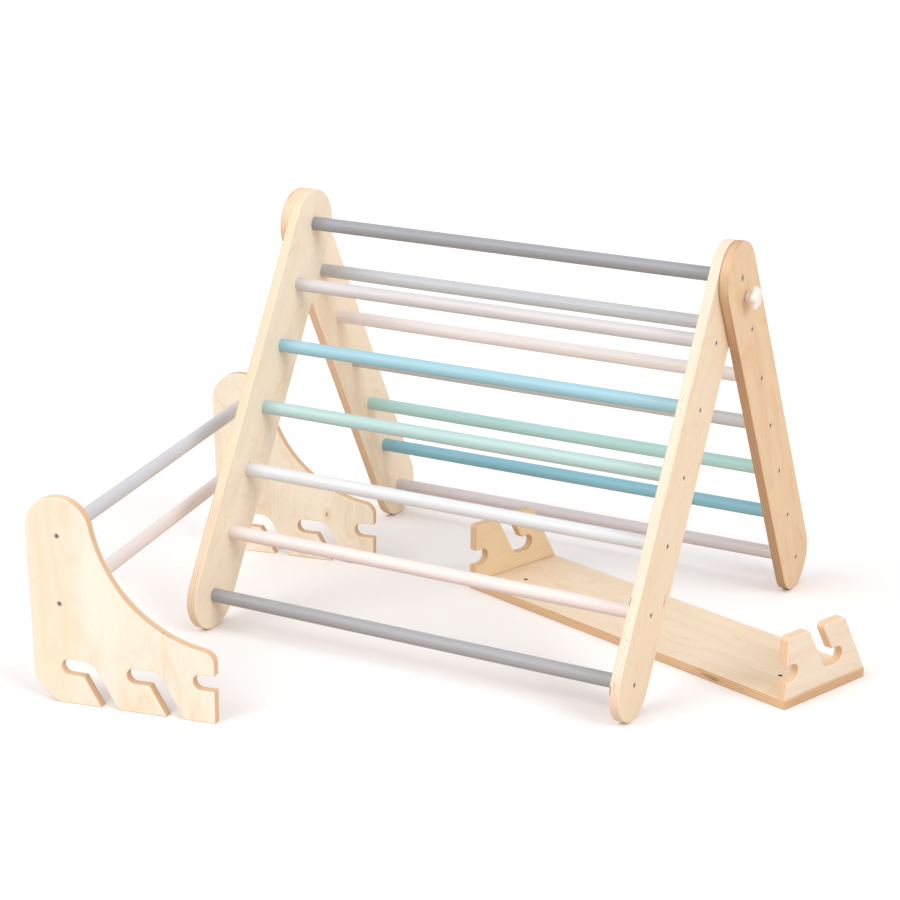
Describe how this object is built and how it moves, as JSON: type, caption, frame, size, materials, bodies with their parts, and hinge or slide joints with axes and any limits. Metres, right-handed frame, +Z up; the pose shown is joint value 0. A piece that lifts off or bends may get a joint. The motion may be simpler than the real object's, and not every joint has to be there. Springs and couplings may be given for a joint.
{
  "type": "climbing triangle with hook-on stand and shelf",
  "caption": "Folding climbing triangle of birch plywood with coloured rungs, a loose hook-on stand and a loose hook-on shelf.",
  "frame": {"origin": "on the floor, middle of the whole row's footprint", "axes": "+X along the rungs to the right, -Y towards the front ladder's feet, +Z up"},
  "size_m": [1.332, 1.1822, 0.7391],
  "materials": {
    "birch_plywood": "clear satin varnish",
    "paint_slate_grey": "water-based satin paint on beech dowel",
    "paint_blush_white": "water-based satin paint on beech dowel",
    "paint_sky_blue": "water-based satin paint on beech dowel",
    "paint_mint": "water-based satin paint on beech dowel",
    "paint_white": "water-based satin paint on beech dowel",
    "paint_shell_cream": "water-based satin paint on beech dowel",
    "paint_mid_grey": "water-based satin paint on beech dowel",
    "paint_sage_grey": "water-based satin paint on beech dowel",
    "paint_oat": "water-based satin paint on beech dowel",
    "paint_pale_grey": "water-based satin paint on beech dowel",
    "paint_sea_green": "water-based satin paint on beech dowel",
    "paint_teal_blue": "water-based satin paint on beech dowel",
    "paint_taupe": "water-based satin paint on beech dowel",
    "paint_cool_grey": "water-based satin paint on beech dowel",
    "paint_rose_beige": "water-based satin paint on beech dowel",
    "brass_insert": "machined",
    "nylon": "natural nylon",
    "knob_plastic": "moulded, satin",
    "beech_peg": "fluted, raw",
    "zinc_steel": "bright zinc plate"
  },
  "bodies": {
    "rear_ladder": {"rear_rail_left": "birch_plywood", "rear_rail_right": "birch_plywood", "rear_rung_1": "paint_sage_grey", "rear_rung_2": "paint_oat", "rear_rung_3": "paint_pale_grey", "rear_rung_4": "paint_sea_green", "rear_rung_5": "paint_teal_blue", "rear_rung_6": "paint_taupe", "rear_rung_bolts": "zinc_steel", "rear_rung_inserts": "brass_insert", "pivot_bush_left": "nylon", "pivot_bush_right": "nylon", "knob_insert_left": "brass_insert", "knob_insert_right": "brass_insert"},
    "front_ladder": {"front_rail_left": "birch_plywood", "front_rail_right": "birch_plywood", "front_rung_1": "paint_blush_white", "front_rung_2": "paint_sky_blue", "front_rung_3": "paint_mint", "front_rung_4": "paint_white", "front_rung_5": "paint_shell_cream", "front_rung_6": "paint_mid_grey", "front_rung_bolts": "zinc_steel", "front_rung_inserts": "brass_insert", "pivot_rung": "paint_slate_grey", "pivot_rung_inserts": "brass_insert", "pivot_bolt_left": "zinc_steel", "pivot_bolt_right": "zinc_steel"},
    "knob_washer_left": {"knob_washer_left": "zinc_steel"},
    "knob_left": {"knob_left": "knob_plastic", "knob_stud_left": "zinc_steel"},
    "knob_washer_right": {"knob_washer_right": "zinc_steel"},
    "knob_right": {"knob_right": "knob_plastic", "knob_stud_right": "zinc_steel"},
    "stand": {"stand_cheek_front": "birch_plywood", "stand_cheek_back": "birch_plywood", "stand_rung_upper": "paint_cool_grey", "stand_rung_lower": "paint_rose_beige", "stand_bolts": "zinc_steel", "stand_rung_inserts": "brass_insert"},
    "shelf": {"shelf_board": "birch_plywood", "shelf_bracket_left": "birch_plywood", "shelf_bracket_right": "birch_plywood", "shelf_screws": "zinc_steel", "shelf_pegs": "beech_peg", "board_top_screws": "zinc_steel"}
  },
  "joints": [
    {"name": "ladder_fold", "type": "hinge", "parent": "rear_ladder", "child": "front_ladder", "pos_m": [-0.02573, 0.17408, 0.67615], "axis": [-1, 0, 0], "range_deg": [-12, 120]},
    {"name": "knob_left_travel", "type": "slide", "parent": "rear_ladder", "child": "knob_washer_left", "axis": [-1, 0, 0], "range_m": [0, 0.005]},
    {"name": "knob_left_turn", "type": "hinge", "parent": "knob_washer_left", "child": "knob_left", "pos_m": [-0.46623, 0.19533, 0.63934], "axis": [-1, 0, 0], "range_deg": [0, 1441]},
    {"name": "knob_right_travel", "type": "slide", "parent": "rear_ladder", "child": "knob_washer_right", "axis": [1, 0, 0], "range_m": [0, 0.005]},
    {"name": "knob_right_turn", "type": "hinge", "parent": "knob_washer_right", "child": "knob_right", "pos_m": [0.41477, 0.19533, 0.63934], "axis": [1, 0, 0], "range_deg": [0, 1441]},
    {"name": "stand_draw_out", "type": "slide", "parent": "rear_ladder", "child": "stand", "axis": [-0.9829, -0.184, 0], "range_m": [0, 0.35]},
    {"name": "shelf_draw_out", "type": "slide", "parent": "rear_ladder", "child": "shelf", "axis": [0.9478, -0.319, 0], "range_m": [0, 0.65]}
  ],
  "couplings": [
    {"joint": "knob_left_turn", "follows": "knob_left_travel", "rad_per_m": 5026.5},
    {"joint": "knob_right_turn", "follows": "knob_right_travel", "rad_per_m": 5026.5}
  ]
}
